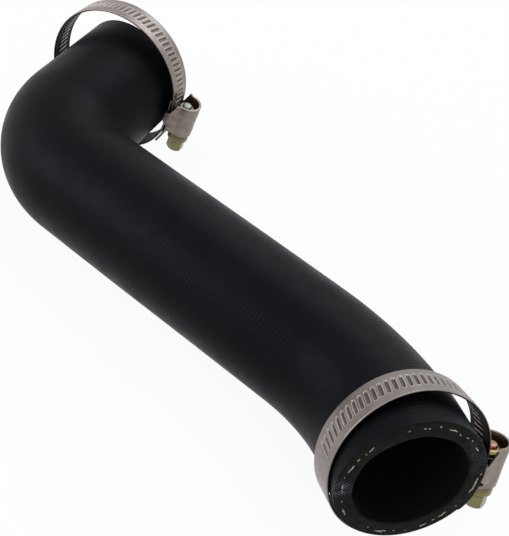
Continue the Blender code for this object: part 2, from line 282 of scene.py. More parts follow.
@dataclass(frozen=True)
class Cloud:
    """A noise over a piece: its scale for a metre, its detail, and the values that count as 0 and as 1."""

    scale: float
    detail: float
    low: float = 0.3
    high: float = 0.7


class Graph:
    """Adds nodes to one tree."""

    def __init__(self, tree: bpy.types.NodeTree) -> None:
        """Keeps the tree."""
        self.tree = tree

    def node(self, kind: str, inputs: Inputs | None = None, **settings: object) -> bpy.types.Node:
        """Adds one node.

        Args:
            kind: Blender's node type.
            inputs: Values or output sockets for its input sockets, by name or number.
            **settings: Properties of the node.

        Returns:
            The new node.
        """
        made = self.tree.nodes.new(kind)
        for key, value in settings.items():
            setattr(made, key, value)
        self.plug(made, inputs or {})
        return made

    def plug(self, node: bpy.types.Node, inputs: Inputs) -> None:
        """Sets a node's inputs to values, with an alpha of 1 for colours, or links them to outputs."""
        for key, value in inputs.items():
            socket = node.inputs[key]
            if isinstance(value, Socket):
                self.tree.links.new(value, socket)
            else:
                socket.default_value = (*value, 1.0) if socket.type == "RGBA" else value

    def join(self, first: object, second: object, operation: str = "ADD") -> Socket:
        """Two values joined by a Math node."""
        return self.node("ShaderNodeMath", {0: first, 1: second}, operation=operation).outputs[0]

    def span(self, value: Socket, before: Span, after: Span) -> Socket:
        """Maps value from one span onto another, clamped."""
        ends = dict(zip(("From Min", "From Max", "To Min", "To Max"), before + after))
        return self.node("ShaderNodeMapRange", {"Value": value, **ends}).outputs[0]

    def shown(self) -> Socket:
        """1 for camera, glossy and transmission rays, 0 for the rays that only light."""
        rays = self.node("ShaderNodeLightPath").outputs
        seen = self.join(rays["Is Camera Ray"], rays["Is Glossy Ray"], "MAXIMUM")
        return self.join(seen, rays["Is Transmission Ray"], "MAXIMUM")


class Paint(Graph):
    """The nodes of one material with a Principled shader."""

    def __init__(self, name: str) -> None:
        """Starts the material."""
        self.material = bpy.data.materials.new(name)
        self.material.use_nodes = True
        super().__init__(self.material.node_tree)
        self.place = self.node("ShaderNodeTexCoord").outputs["Object"]

    def uv(self, scales: Span) -> Socket:
        """The piece's own UV map, scaled by two numbers."""
        source = self.node("ShaderNodeUVMap", uv_map="surface").outputs[0]
        return self.node("ShaderNodeMapping", {"Vector": source, "Scale": (*scales, 1.0)}).outputs[0]

    def noise(self, scale: float, detail: float = 3.0) -> Socket:
        """A noise over the piece's place, from 0 to 1."""
        inputs = {"Vector": self.place, "Scale": scale, "Detail": detail}
        return self.node("ShaderNodeTexNoise", inputs).outputs[0]

    def lines(self, scales: Span, detail: float = 3.0) -> Socket:
        """A noise drawn out along the piece's UV map, from 0 to 1."""
        inputs = {"Vector": self.uv(scales), "Scale": 1.0, "Detail": detail}
        return self.node("ShaderNodeTexNoise", inputs).outputs[0]

    def cloud(self, cloud: Cloud, after: Span = (0.0, 1.0)) -> Socket:
        """A noise whose low and high values become the two of after."""
        return self.span(self.noise(cloud.scale, cloud.detail), (cloud.low, cloud.high), after)

    def mark(self, name: str) -> Socket:
        """A named value of the piece's points."""
        return self.node("ShaderNodeAttribute", attribute_name=name).outputs["Fac"]

    def mix(self, share: Socket, first: object, second: object) -> Socket:
        """A colour between two, by share."""
        made = self.node("ShaderNodeMix", data_type="RGBA")
        self.plug(made, {0: share, 6: first, 7: second})
        return made.outputs[2]

    def finish(self, height: Socket, distance: float, inputs: Inputs) -> bpy.types.Material:
        """Gives the shader its bump and its inputs.

        Args:
            height: Height of the bump, as a multiple of distance.
            distance: Length that a height of 1 stands for.
            inputs: The shader's other inputs.

        Returns:
            The material.
        """
        bump = self.node("ShaderNodeBump", {"Height": height, "Distance": distance, "Strength": 1.0})
        self.plug(self.tree.nodes["Principled BSDF"], {**inputs, "Normal": bump.outputs[0]})
        return self.material


@dataclass(frozen=True)
class Rubber:
    """Matt black rubber with a fine moulded grain, slight colour drift and the cloth wrap's lines.

    Attributes:
        dark, light: Colours in the deep areas and in the paler, dustier ones.
        gloss: Specular level.
        bloom: Weight of the grey sheen that handling leaves.
        wrap: Height of the lines round the hose, whose UV scales are wrap_lines.
        grain: Height of the grain, whose scale for a metre is grain_scale.
        drift, dust, patches: Noises of the colour, the dust and the roughness.
        drift_share, dust_share: How far drift and dust go towards the light colour.
    """

    name: str
    dark: Colour
    light: Colour
    roughness: Span
    gloss: float
    bloom: float = 0.0
    wrap: float = 0.0
    wrap_lines: Span = (90.0, 3200.0)
    grain: float = 0.03 * MM
    grain_scale: float = 2600.0
    drift: Cloud = Cloud(90.0, 5.0, 0.3, 0.75)
    dust: Cloud = Cloud(900.0, 3.0, 0.62, 0.8)
    patches: Cloud = Cloud(140.0, 3.0)
    drift_share: float = 0.6
    dust_share: float = 0.35
    tint: Colour = (0.82, 0.86, 1.0)
    sheen_tint: Colour = (0.86, 0.86, 1.0)
    sheen_roughness: float = 0.35

    def make(self) -> bpy.types.Material:
        """Builds the material."""
        paint = Paint(self.name)
        drift = paint.cloud(self.drift, (0.0, self.drift_share))
        share = paint.join(drift, paint.cloud(self.dust, (0.0, self.dust_share)))
        height = paint.noise(self.grain_scale)
        if self.wrap:
            wrap = paint.join(paint.lines(self.wrap_lines, 2.0), self.wrap / self.grain, "MULTIPLY")
            height = paint.join(height, wrap)
        inputs = {
            "Base Color": paint.mix(share, self.dark, self.light),
            "Roughness": paint.cloud(self.patches, self.roughness),
            "Specular IOR Level": self.gloss,
            "Specular Tint": self.tint,
            "Sheen Weight": self.bloom,
            "Sheen Roughness": self.sheen_roughness,
            "Sheen Tint": self.sheen_tint,
        }
        return paint.finish(height, self.grain, inputs)


@dataclass(frozen=True)
class CutRubber:
    """Knife-cut rubber: dull, with drag lines across the wall and patches of a finely knitted ply.

    Attributes:
        glint: Colour of the ply's threads, where the mark "knit" bares them.
        pitch: Distance between the threads.
        diagonal: Share of the waves' rate, about 1 / root 2, that gives the pitch along each diagonal.
        crossing: Values of the crossed waves that count as no thread and as a whole one.
        worn, patches: Noises of the ply's wear and of the roughness.
        drag: UV scales of the drag lines, which are drag_height high.
    """

    name: str
    colour: Colour
    glint: Colour
    pitch: float
    diagonal: float = 0.7
    crossing: Span = (-0.1, 0.6)
    worn: Cloud = Cloud(420.0, 3.0, 0.38, 0.6)
    patches: Cloud = Cloud(400.0, 3.0)
    roughness: Span = (0.55, 0.8)
    gloss: float = 0.08
    drag: Span = (2200.0, 180.0)
    drag_height: float = 0.08 * MM

    def make(self) -> bpy.types.Material:
        """Builds the material.

        The ply's threads are spots where two sets of waves cross: the smaller of the sines of u + v and of
        u - v, where u and v rise by diagonal times a full turn for each pitch.
        """
        paint = Paint(self.name)
        waves = self.diagonal * TAU / self.pitch
        u, v = paint.node("ShaderNodeSeparateXYZ", {0: paint.uv((waves, waves))}).outputs[:2]
        sines = [paint.join(paint.join(u, v, way), 0.0, "SINE") for way in ("ADD", "SUBTRACT")]
        threads = paint.span(paint.join(*sines, "MINIMUM"), self.crossing, (0.0, 1.0))
        left = paint.join(threads, paint.cloud(self.worn), "MULTIPLY")
        bared = paint.join(left, paint.mark("knit"), "MULTIPLY")
        inputs = {
            "Base Color": paint.mix(bared, self.colour, self.glint),
            "Roughness": paint.cloud(self.patches, self.roughness),
            "Specular IOR Level": self.gloss,
        }
        return paint.finish(paint.join(paint.lines(self.drag), bared), self.drag_height, inputs)


@dataclass(frozen=True)
class Steel:
    """Cold-rolled sheet: satin metal with fine drag lines, cloudy tarnish, painted shade and painted
    highlights.

    Attributes:
        tarnish: Colour of the cloudy areas.
        painted_shade_and_worn_tip: Colour of the painted shade in pressed places and on inner faces, laid on
            by the mark of the same name. On the screws the same mark names the worn tip.
        painted_highlight: Colour of the painted highlights on the slots' rims and ribs, laid on by the mark
            of the same name.
        lines: UV scales of the drag lines, around and along the piece. They are drag_height high.
        drag: Values of the drag lines' noise that count as 0 and as 1.
        cloud, grain: Noises of the tarnish and of the roughness.
        drag_share, cloud_share: How far drag lines and clouds go towards the tarnish's colour.
        soil: How much rougher the recesses are.
        painted_highlight_metal: Metallic value where highlights are painted, lowered so that these places
            scatter light.
    """

    name: str
    colour: Colour
    tarnish: Colour
    painted_shade_and_worn_tip: Colour
    painted_highlight: Colour
    roughness: Span
    lines: Span
    drag: Span = (0.3, 0.75)
    drag_height: float = 0.012 * MM
    cloud: Cloud = Cloud(260.0, 4.0, 0.38, 0.66)
    grain: Cloud = Cloud(900.0, 3.0)
    drag_share: float = 0.45
    cloud_share: float = 0.6
    soil: float = 0.3
    painted_highlight_metal: float = 0.55

    def make(self) -> bpy.types.Material:
        """Builds the material."""
        paint = Paint(self.name)
        drag = paint.lines(self.lines)
        clean = paint.mix(paint.span(drag, self.drag, (0.0, self.drag_share)), self.colour, self.tarnish)
        clouds = paint.join(paint.cloud(self.cloud), self.cloud_share, "MULTIPLY")
        # Painted shade darkens the recesses and inner faces; painted highlights lighten rims and ribs, which
        # are also less metallic.
        painted_shade_and_worn_tip = paint.mark("painted_shade_and_worn_tip")
        painted_highlight = paint.mark("painted_highlight")
        sunk = paint.mix(painted_shade_and_worn_tip, paint.mix(clouds, clean, self.tarnish), self.painted_shade_and_worn_tip)
        soil = paint.join(painted_shade_and_worn_tip, self.soil, "MULTIPLY")
        inputs = {
            "Base Color": paint.mix(painted_highlight, sunk, self.painted_highlight),
            "Roughness": paint.join(paint.cloud(self.grain, self.roughness), soil),
            "Metallic": paint.span(painted_highlight, (0.0, 1.0), (1.0, self.painted_highlight_metal)),
        }
        return paint.finish(drag, self.drag_height, inputs)


@dataclass(frozen=True)
class Plating:
    """Passivated zinc: a metal whose colour drifts from gold on the collar to green on the hexagon.

    Attributes:
        gold, green: The warm tint and the cool one.
        tip: Colour of the worn tip, laid on by the mark that paints shade on the steel pieces.
        painted_corner_shade: Colour of the painted shade at both ends of the collar, laid on by the mark of
            the same name.
        cloud, grain: Noises of the tint and of the roughness.
        drift: Tint at the two ends of the cloud, before the mark "hexagon" is added.
        wear: How much rougher the worn tip is.
        coat: Weight of the clear film.
        texture: Scale of the fine bumps for a metre, which are texture_height high.
    """

    name: str
    gold: Colour
    green: Colour
    tip: Colour
    # Painted shade at both ends of the collar.
    painted_corner_shade: Colour = (0.035, 0.026, 0.010)
    cloud: Cloud = Cloud(330.0, 3.0, 0.36, 0.64)
    grain: Cloud = Cloud(1500.0, 3.0)
    drift: Span = (-0.35, 0.65)
    roughness: Span = (0.22, 0.42)
    wear: float = 0.16
    coat: float = 0.5
    coat_roughness: float = 0.12
    texture: float = 3000.0
    texture_height: float = 0.02 * MM

    def make(self) -> bpy.types.Material:
        """Builds the material."""
        paint = Paint(self.name)
        tint = paint.join(paint.cloud(self.cloud, self.drift), paint.mark("hexagon"))
        film = paint.mix(paint.span(tint, (0.0, 1.0), (0.0, 1.0)), self.gold, self.green)
        painted_shade_and_worn_tip = paint.mark("painted_shade_and_worn_tip")
        wear = paint.join(painted_shade_and_worn_tip, self.wear, "MULTIPLY")
        inputs = {
            # The worn tip's own colour, then painted shade at both ends of the collar.
            "Base Color": paint.mix(paint.mark("painted_corner_shade"), paint.mix(painted_shade_and_worn_tip, film, self.tip), self.painted_corner_shade),
            "Roughness": paint.join(paint.cloud(self.grain, self.roughness), wear),
            "Metallic": 1.0,
            "Coat Weight": self.coat,
            "Coat Roughness": self.coat_roughness,
        }
        return paint.finish(paint.noise(self.texture), self.texture_height, inputs)


@dataclass(frozen=True)
class Yarn:
    """Pale reinforcing yarn, cut off flush and frayed.

    Attributes:
        soiled: Colour where rubber dust covers it.
        dust: Noise of that dust.
        fibre: Scale of the fibres for a metre, which are fibre_height high.
    """

    name: str
    colour: Colour
    soiled: Colour
    dust: Cloud = Cloud(700.0, 3.0, 0.42, 0.7)
    roughness: float = 0.85
    gloss: float = 0.2
    fibre: float = 6000.0
    fibre_height: float = 0.06 * MM

    def make(self) -> bpy.types.Material:
        """Builds the material."""
        paint = Paint(self.name)
        inputs = {
            "Base Color": paint.mix(paint.cloud(self.dust), self.colour, self.soiled),
            "Roughness": self.roughness,
            "Specular IOR Level": self.gloss,
        }
        return paint.finish(paint.noise(self.fibre, 2.0), self.fibre_height, inputs)


OUTER_RUBBER = Rubber(
    name="outer_rubber",
    dark=(0.0016, 0.0017, 0.0024),
    light=(0.0030, 0.0031, 0.0042),
    roughness=(0.38, 0.50),
    gloss=0.085,
    bloom=0.012,
    wrap=0.05 * MM,
)
BORE_RUBBER = Rubber("bore_rubber", (0.0030, 0.0030, 0.0032), (0.0048, 0.0048, 0.0050), (0.6, 0.75), 0.1)
CUT_RUBBER = CutRubber("cut_rubber", (0.0038, 0.0038, 0.0035), (0.24, 0.28, 0.36), 0.85 * MM)
YARN = Yarn("reinforcing_yarn", (0.46, 0.44, 0.34), (0.12, 0.115, 0.09))
BAND_STEEL = Steel(
    name="band_stainless",
    colour=(0.272, 0.241, 0.228),
    tarnish=(0.186, 0.159, 0.146),
    # Near-black painted shade, then the painted highlights' colour.
    painted_shade_and_worn_tip=(0.012, 0.009, 0.008),
    painted_highlight=(0.54, 0.50, 0.48),
    roughness=(0.28, 0.44),
    lines=(900.0, 60.0),
)
HOUSING_STEEL = Steel(
    name="housing_stainless",
    colour=(0.26, 0.225, 0.20),
    tarnish=(0.18, 0.15, 0.13),
    # Painted shade tinted copper-brown as a painted reflection of the screw's tip, then the painted
    # highlights' colour, which no mark lays on the housing.
    painted_shade_and_worn_tip=(0.07, 0.04, 0.024),
    painted_highlight=(0.40, 0.37, 0.35),
    roughness=(0.3, 0.46),
    lines=(60.0, 900.0),
)
NEAR_PLATING = Plating("near_screw_zinc", (0.21, 0.175, 0.062), (0.15, 0.155, 0.07), (0.42, 0.225, 0.125))
FAR_PLATING = Plating("far_screw_zinc", (0.20, 0.158, 0.052), (0.14, 0.14, 0.06), (0.24, 0.27, 0.27))


# The hose


@dataclass(frozen=True)
class HoseRoute:
    """The hose's centreline: leg, wide bend, straight run, tight elbow and neck."""

    near_leg: float = 15.0 * MM
    near_radius: float = 61.5 * MM
    near_angle: float = math.radians(48.4)
    middle_run: float = 113.5 * MM
    elbow_radius: float = 26.0 * MM
    elbow_angle: float = math.radians(83.8)
    neck: float = 40.5 * MM
    twist: float = math.radians(146.9)

    def parts(self) -> list[tuple[float, float, float]]:
        """Length, bend radius (0 for a straight) and the side that it bends to, for each part."""
        return [
            (self.near_leg, 0.0, 0.0),
            (self.near_radius * self.near_angle, self.near_radius, 0.0),
            (self.middle_run, 0.0, 0.0),
            (self.elbow_radius * self.elbow_angle, self.elbow_radius, self.twist),
            (self.neck, 0.0, 0.0),
        ]

    def length(self, parts: int | None = None) -> float:
        """Length of the centreline, or of its first few parts."""
        return sum(part[0] for part in self.parts()[:parts])

    def frames(self, stations: np.ndarray) -> np.ndarray:
        """Frames along the centreline, Z forwards and never twisting.

        On an arc of radius R the frame at angle a is the arc's first frame, moved by R (1 - cos a) to the
        centre's side and R sin a forwards, and turned by a about the axis across that side.

        Args:
            stations: Distances from the near mouth.

        Returns:
            One 4 by 4 matrix for each station.
        """
        found = np.zeros((len(stations), 4, 4))
        start = np.eye(4)
        passed = 0.0
        last = len(self.parts()) - 1
        for number, (length, radius, side) in enumerate(self.parts()):
            reach = math.inf if number == last else passed + length
            chosen = (stations >= passed) & (stations < reach) if number else stations < reach
            found[chosen] = start @ self.stretch(stations[chosen] - passed, radius, side)
            start = start @ self.stretch(np.array([length]), radius, side)[0]
            passed += length
        return found

    @staticmethod
    def stretch(travel: np.ndarray, radius: float, side: float) -> np.ndarray:
        """Frames after each travel along one part, seen from the part's start."""
        local = np.tile(np.eye(4), (len(travel), 1, 1))
        if not radius:
            local[:, 2, 3] = travel
            return local
        angle = travel / radius
        local[:, 0, 0] = local[:, 2, 2] = np.cos(angle)
        local[:, 0, 2] = np.sin(angle)
        local[:, 2, 0] = -np.sin(angle)
        local[:, 0, 3] = radius * (1 - np.cos(angle))
        local[:, 2, 3] = radius * np.sin(angle)
        return turned(side, "Z") @ local @ turned(-side, "Z")


@dataclass(frozen=True)
class YarnEnds:
    """Cut ends of the reinforcing yarn in one face of the hose.

    Each end is a small squashed ball, long round the hose and narrow across the wall, whose middle line
    waves. On the frayed side the ends are longer and broader.

    Attributes:
        side: Which mouth.
        seed: Seed of the random draws.
        radius: Where the yarn lies in the wall.
        count: How many ends.
        frayed_side: Direction of the frayed side in degrees.
        frayed_reach: How far it reaches to each side.
        frayed_gain: What fraying adds to the radius, and to the length and breadth as shares.
        lengths_mm: Half lengths to draw from.
        chances: Their chances.
        breadths_mm: Lowest and highest half breadth.
        scatter: Spread of the direction, the radius and the tilt.
        rise: How far an end stands up.
        sunk: How far its middle lies below the face.
        swell: Wave of the breadth along an end, as a share.
        bend: Wave of the middle line.
        rings: Rows and columns of each ball.
    """

    side: Side
    seed: int
    radius: float = 22.6 * MM
    count: int = 40
    frayed_side: float = 158.0
    frayed_reach: float = math.radians(20.0)
    frayed_gain: tuple[float, float, float] = (0.5 * MM, 0.7, 0.9)
    lengths_mm: tuple[float, ...] = (0.3, 0.6, 1.1, 1.7)
    chances: tuple[float, ...] = (0.34, 0.28, 0.24, 0.14)
    breadths_mm: Span = (0.15, 0.28)
    scatter: tuple[float, float, float] = (0.05, 0.28 * MM, 0.16)
    rise: float = 0.14 * MM
    sunk: float = 0.02 * MM
    swell: Wave = Wave(0.3, 5000.0, 1.0)
    bend: Wave = Wave(0.12 * MM, 2600.0, 1.0)
    rings: int = 8

    def ball(self) -> np.ndarray:
        """Points of a ball of radius 1 in rings from one pole to the other, with x along the poles."""
        latitude = np.linspace(0, math.pi, self.rings)[:, None]
        longitude = once_round(self.rings)[None, :]
        across = np.sin(latitude)
        return np.stack(
            [np.cos(latitude) + 0 * longitude, across * np.cos(longitude), across * np.sin(longitude)], -1
        )

    def points(self) -> np.ndarray:
        """Points of all the ends, seen from the middle of the hose's face, with z out of the hose's body.

        The direction of a point is its end's own plus x / radius, and the radius is the end's own plus y.

        Returns:
            Array of shape (ends, rings, rings, 3).
        """
        random = np.random.default_rng(self.seed)
        by_direction, by_radius, by_tilt = self.scatter
        further, longer, broader = self.frayed_gain
        where = once_round(self.count) + random.normal(0, by_direction, self.count)
        aside = np.abs(away(where, self.frayed_side))
        frayed = 1 - eased(0.4 * self.frayed_reach, self.frayed_reach, aside)
        reach = self.radius + random.normal(0, by_radius, self.count) + further * frayed
        long = random.choice(self.lengths_mm, self.count, p=self.chances) * MM * (1 + longer * frayed)
        broad = random.uniform(*self.breadths_mm, self.count) * MM * (1 + broader * frayed)
        tilt = random.normal(0, by_tilt, self.count)
        phase = random.uniform(0, TAU, self.count)
        long, broad, tilt, phase, reach, where = (
            value[:, None, None] for value in (long, broad, tilt, phase, reach, where)
        )
        ball = self.ball()[None]
        x = ball[..., 0] * long
        y = ball[..., 1] * broad * (1 + self.swell.at(x, phase)) + self.bend.at(x, phase) + x * tilt
        z = ball[..., 2] * self.rise - self.sunk
        outward = -1.0 if self.side is Side.NEAR else 1.0
        turn = where + x / reach
        radial = reach + y
        return np.stack([radial * np.cos(turn), radial * np.sin(turn), outward * z + 0 * radial], -1)

    def build(self, place: np.ndarray, finish: bpy.types.Material) -> None:
        """Builds all the ends of one face as one piece.

        Args:
            place: Frame of the face.
            finish: The yarn's material.
        """
        rings = self.rings
        row = np.arange(rings - 1)[:, None] * rings
        column = np.arange(rings)[None, :]
        after = (column + 1) % rings
        quads = np.stack([row + column, row + after, row + rings + after, row + rings + column], -1)
        faces = quads.reshape(1, -1, 4) + rings**2 * np.arange(self.count)[:, None, None]
        mesh = bpy.data.meshes.new(f"{self.side.value}_yarn_ends")
        points = carried(place, self.points().reshape(-1, 3))
        mesh.from_pydata(points, [], faces.reshape(-1, 4).tolist())
        mesh.materials.append(finish)
        close_balls(mesh)
        mesh.shade_smooth()
        settle(placed(mesh.name, mesh), "hose")


def close_balls(mesh: bpy.types.Mesh) -> None:
    """Merges the doubled points at the poles of small balls, and turns their faces outwards."""
    builder = bmesh.new()
    builder.from_mesh(mesh)
    bmesh.ops.remove_doubles(builder, verts=builder.verts, dist=0.0005 * MM)
    bmesh.ops.recalc_face_normals(builder, faces=builder.faces)
    builder.to_mesh(mesh)
    builder.free()


@dataclass
class Hose:
    """The moulded rubber hose, with a cut face and yarn ends at each mouth.

    Attributes:
        rib_height: Height of the wrap ribs from valley to crest.
        rib_rows: Rows of points for each rib.
        rib_wander: Waves that shift the ribs' phase.
        rib_swell: Wave of the ribs' height, as a share.
        rib_fade: Share of the ribs' height that is gone on the elbow and the neck.
        unevenness: Waves of the hand-wrapped outside.
        drag: Waves that the knife left in the cut faces, along the radius and round the hose.
        bared: Middle and reach in degrees and strength of each patch of bared ply in the near face.
        bared_edge: How far from the bore the ply reaches its full strength.
    """

    route: HoseRoute = field(default_factory=HoseRoute)
    radius: float = 25.0 * MM
    wall: float = 6.0 * MM
    sides: int = 96
    rib_pitch: float = 1.5 * MM
    rib_height: float = 0.07 * MM
    rib_rows: int = 4
    rib_wander: tuple[Wave, ...] = (Wave(0.6, 40.0, 2.0), Wave(0.5, -90.0, 3.0))
    rib_swell: Wave = Wave(0.25, 170.0, 2.0)
    rib_fade: float = 0.65
    unevenness: tuple[Wave, ...] = (Wave(0.06 * MM, 31.0, 2.0), Wave(0.04 * MM, 77.0, -3.0))
    drag: tuple[Wave, ...] = (Wave(0.12 * MM, 400.0, 3.0), Wave(0.12 * MM, 0.0, 7.0))
    edge_rounding: float = 0.5 * MM
    bore_step: float = 2.6 * MM
    face_rows: int = 9
    edge_rows: int = 4
    bared: tuple[tuple[float, float, float], ...] = ((-22.0, 9.0, 0.9), (134.0, 26.0, 0.28))
    bared_edge: float = 1.5 * MM

    def profile(self) -> tuple[np.ndarray, np.ndarray, np.ndarray, np.ndarray]:
        """The wall's outline, once round: outside, far face, bore and near face.

        Returns:
            Station, radius, zone (0 outside, 1 cut face, 2 bore) and rib share of each row.
        """
        length = self.route.length()
        edge = self.edge_rounding
        bore = self.radius - self.wall
        rise = edge * np.sin(quarter(self.edge_rows))
        fall = edge * np.cos(quarter(self.edge_rows))
        face = np.linspace(self.radius - edge, bore + edge, self.face_rows)[1:-1]
        outside = np.arange(edge, length - edge, self.rib_pitch / self.rib_rows)
        inside = np.arange(edge, length - edge, self.bore_step)[::-1]
        parts = [
            (outside, self.radius, 0, 1),
            (length - edge + rise, self.radius - edge + fall, 1, 0),
            (length, face, 1, 0),
            (length - edge + fall, bore + edge - rise, 1, 0),
            (inside, bore, 2, 0),
            (edge - rise, bore + edge - fall, 1, 0),
            (0.0, face[::-1], 1, 0),
            (edge - fall, self.radius - edge + rise, 1, 0),
        ]
        return tuple(np.concatenate([np.stack(np.broadcast_arrays(*part)) for part in parts], axis=1))

    def shape(self, stations: np.ndarray, angles: np.ndarray) -> np.ndarray:
        """How far the outside stands off its round: wrap ribs and a slight hand-wrapped unevenness.

        The ribs are a cosine of the station with a phase that wanders slowly, times their height, which
        swells and sinks and fades towards the elbow. The unevenness is a sum of long waves.

        Args:
            stations: Column of stations.
            angles: Row of angles.

        Returns:
            Offsets on the grid.
        """
        elbow = self.route.length(3)
        fading = 1 - self.rib_fade * eased(0.75 * elbow, elbow, stations)
        swell = (1 - self.rib_swell.height + self.rib_swell.at(stations, angles)) * fading
        wander = sum(wave.at(stations, angles) for wave in self.rib_wander)
        rib = 0.5 * self.rib_height * swell * np.cos(TAU * stations / self.rib_pitch + wander)
        return rib + sum(wave.at(stations, angles) for wave in self.unevenness)

    def knit(self, angles: np.ndarray) -> np.ndarray:
        """Strength of the bared ply in each direction: full in the middle of a patch, 0 at its reach."""
        strength = np.zeros(len(angles))
        for side, reach, share in self.bared:
            strength += share * (1 - eased(0.6 * reach, reach, np.abs(np.degrees(away(angles, side)))))
        return strength

    def build(self) -> None:
        """Builds the tube and the yarn ends of both mouths."""
        stations, radii, zones, ribs = self.profile()
        angles = once_round(self.sides)
        column = stations[:, None]
        reach = radii[:, None]
        outline = reach + ribs[:, None] * self.shape(column, angles[None, :])
        circle = np.stack([np.cos(angles), np.sin(angles), np.zeros(self.sides)], -1)
        local = circle[None] * outline[..., None]
        cut = (zones == 1)[:, None] * sum(wave.at(reach, angles[None, :]) for wave in self.drag)
        ends = np.where(column < self.route.length() / 2, 1.0, -1.0)
        local[..., 2] = cut * ends * eased(0, self.wall / 3, self.radius - reach)
        travelled = np.concatenate([[0], np.cumsum(np.hypot(np.diff(stations), np.diff(radii)))])
        bore = self.radius - self.wall
        knit = (column < 1 * MM) * self.knit(angles)[None, :] * eased(bore, bore + self.bared_edge, reach)
        skin = Skin(
            points=carried(HOSE_FRAME, carried(self.route.frames(stations), local)),
            along=travelled,
            around=np.linspace(0, TAU * self.radius, self.sides + 1),
            close_rows=True,
            marks={"knit": knit},
            zones=np.maximum(zones, np.roll(zones, -1)) % 3,
        )
        rubbers = [OUTER_RUBBER.make(), CUT_RUBBER.make(), BORE_RUBBER.make()]
        settle(skin.piece("hose_tube", rubbers), "hose", "hose")
        faces = HOSE_FRAME @ self.route.frames(np.array([0.0, self.route.length()]))
        yarn = YARN.make()
        YarnEnds(Side.NEAR, seed=7).build(faces[0], yarn)
        YarnEnds(Side.FAR, seed=11).build(faces[1], yarn)


# The clamps


@dataclass(frozen=True)
class BandRoute:
    """The sprung band's closed base line: a straight under the screw, then equal turns of different radii."""

    slack_mm: tuple[float, ...]
    hose_radius: float = 25.0 * MM
    straight: float = 8.0 * MM

    def lines(self) -> tuple[np.ndarray, np.ndarray, np.ndarray, np.ndarray]:
        """Closes the turns on themselves by the smallest change of their radii.

        Returns:
            Radii of the turns, distance at which each starts, its first point measured from the straight's
            start, and the angle that it starts at.
        """
        facing = TAU / len(self.slack_mm) * np.arange(len(self.slack_mm) + 1)
        steps = np.stack([np.diff(np.cos(facing)), np.diff(np.sin(facing))])
        radii = self.hose_radius + np.array(self.slack_mm) * MM
        radii = radii - np.linalg.pinv(steps) @ (steps @ radii + (0, self.straight))
        ends = self.straight + np.concatenate([[0], np.cumsum(radii * TAU / len(radii))])
        corners = np.concatenate([[(0, 0)], np.cumsum(steps * radii, axis=1).T]) + (0, self.straight)
        return radii, ends, corners, facing

    def length(self) -> float:
        """Length once round."""
        return float(self.lines()[1][-1])

    def start(self) -> np.ndarray:
        """Start of the straight, measured from the middle of the loop's box."""
        route = self.raw(np.linspace(0, self.length(), 361), np.zeros(361))
        return -(route.min(axis=0) + route.max(axis=0)) / 2

    def raw(self, distance: np.ndarray, offset: np.ndarray) -> np.ndarray:
        """Points from the straight's start: on each turn its centre, plus radius plus offset outwards."""
        radii, ends, corners, facing = self.lines()
        along = np.mod(distance, ends[-1])
        number = np.clip(np.searchsorted(ends, along, side="right") - 1, 0, len(radii) - 1)
        angle = facing[number] + (along - ends[number]) / radii[number]
        first = np.stack([np.cos(facing[number]), np.sin(facing[number])], -1)
        now = np.stack([np.cos(angle), np.sin(angle)], -1)
        bent = corners[number] - radii[number][..., None] * first + (radii[number] + offset)[..., None] * now
        flat = np.stack([offset, along], -1)
        return np.where((along < self.straight)[..., None], flat, bent)

    def at(self, distance: np.ndarray, offset: np.ndarray) -> np.ndarray:
        """Points of the route, measured from the middle of the loop, moved outwards by offset."""
        return self.raw(distance, offset) + self.start()


